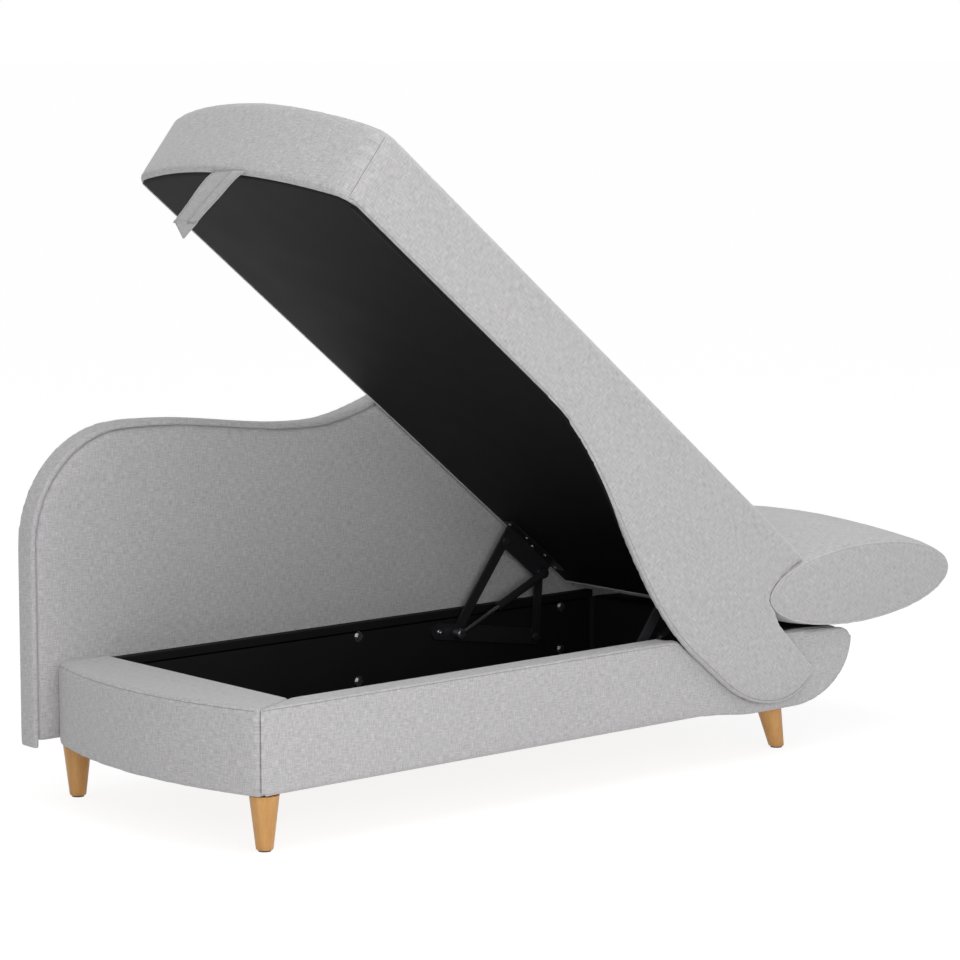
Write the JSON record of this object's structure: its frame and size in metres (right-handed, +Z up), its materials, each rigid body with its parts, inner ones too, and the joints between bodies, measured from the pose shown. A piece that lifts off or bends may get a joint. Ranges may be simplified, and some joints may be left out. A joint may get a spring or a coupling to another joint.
{
  "type": "storage chaise longue",
  "caption": "Upholstered chaise longue on tapered wooden legs, with a wavy backrest along one side and a seat with headrest that lifts at the foot end over a lined storage box.",
  "frame": {"origin": "on the floor, under the middle of the whole piece with its seat lifted", "axes": "+X from the foot end to the head end, +Y from the open side to the backrest, +Z up"},
  "size_m": [1.9836, 0.7173, 1.3902],
  "materials": {
    "grey_cloth": "woven, matt",
    "pale_timber": "sawn and sanded",
    "black_lining": "matt, non-woven",
    "oiled_wood": "oiled, satin",
    "black_steel": "black, satin",
    "zinc_plate": "zinc plated",
    "dark_felt": "matt"
  },
  "bodies": {
    "base": {"near_side_cover": "grey_cloth", "foot_end_cover": "grey_cloth", "head_end_cover": "grey_cloth", "backrest_front_pad": "grey_cloth", "backrest_back_cover": "grey_cloth", "backrest_band": "grey_cloth", "base_board": "pale_timber", "near_rail": "pale_timber", "far_rail": "pale_timber", "foot_rail": "pale_timber", "head_rail": "pale_timber", "backrest_board": "pale_timber", "storage_lining": "black_lining", "leg_foot_near": "oiled_wood", "leg_foot_far": "oiled_wood", "leg_head_near": "oiled_wood", "leg_head_far": "oiled_wood", "leg_plate_foot_near": "black_steel", "leg_plate_foot_far": "black_steel", "leg_plate_head_near": "black_steel", "leg_plate_head_far": "black_steel", "box_bracket_near": "black_steel", "box_bracket_far": "black_steel", "backrest_bolt_1": "zinc_plate", "backrest_bolt_2": "zinc_plate", "backrest_bolt_3": "zinc_plate", "backrest_bolt_4": "zinc_plate", "backrest_bolt_5": "zinc_plate", "backrest_bolt_6": "zinc_plate", "pin_a_near": "zinc_plate", "pin_a_far": "zinc_plate", "pin_b_near": "zinc_plate", "pin_b_far": "zinc_plate", "glide_foot_near": "dark_felt", "glide_foot_far": "dark_felt", "glide_head_near": "dark_felt", "glide_head_far": "dark_felt"},
    "lid": {"lid_deck": "pale_timber", "lid_underlining": "black_lining", "seat_cushion": "grey_cloth", "lid_side_board": "pale_timber", "lid_side_pad": "grey_cloth", "headrest_roll": "grey_cloth", "headrest_board": "pale_timber", "headrest_bracket": "black_steel", "pull_strap": "grey_cloth", "lid_bracket_near": "black_steel", "lid_bracket_far": "black_steel", "pin_d_near": "zinc_plate", "pin_d_far": "zinc_plate"},
    "front_arms": {"front_arm_near": "black_steel", "front_arm_far": "black_steel", "pin_c_near": "zinc_plate", "pin_c_far": "zinc_plate"},
    "rear_arms": {"rear_arm_near": "black_steel", "rear_arm_far": "black_steel"},
    "gas_rods": {"gas_rod_near": "zinc_plate", "gas_rod_far": "zinc_plate"},
    "gas_cylinders": {"gas_cylinder_near": "black_steel", "gas_cylinder_far": "black_steel"}
  },
  "joints": [
    {"name": "front_arm_hinge", "type": "hinge", "parent": "base", "child": "front_arms", "pos_m": [0.08221, -0.004, 0.228], "axis": [0, 1, 0], "range_deg": [0, 47.23]},
    {"name": "lid_hinge", "type": "hinge", "parent": "front_arms", "child": "lid", "pos_m": [0.22487, -0.004, 0.41752], "axis": [0, 1, 0], "range_deg": [-85.96, 0]},
    {"name": "rear_arm_hinge", "type": "hinge", "parent": "base", "child": "rear_arms", "pos_m": [0.31678, -0.004, 0.192], "axis": [0, 1, 0], "range_deg": [0, 61.7]},
    {"name": "gas_spring_hinge", "type": "hinge", "parent": "base", "child": "gas_rods", "pos_m": [0.08221, -0.004, 0.228], "axis": [0, 1, 0], "range_deg": [0, 20.16]},
    {"name": "gas_spring_slide", "type": "slide", "parent": "gas_rods", "child": "gas_cylinders", "axis": [0.9142, 0, 0.4052], "range_m": [0, 0.09993]}
  ],
  "couplings": [
    {"joint": "front_arm_hinge", "follows": "lid_hinge", "ratio": -0.54934},
    {"joint": "rear_arm_hinge", "follows": "lid_hinge", "ratio": -0.71768},
    {"joint": "gas_spring_hinge", "follows": "lid_hinge", "ratio": -0.23443},
    {"joint": "gas_spring_slide", "follows": "lid_hinge", "m_per_rad": -0.066536}
  ]
}
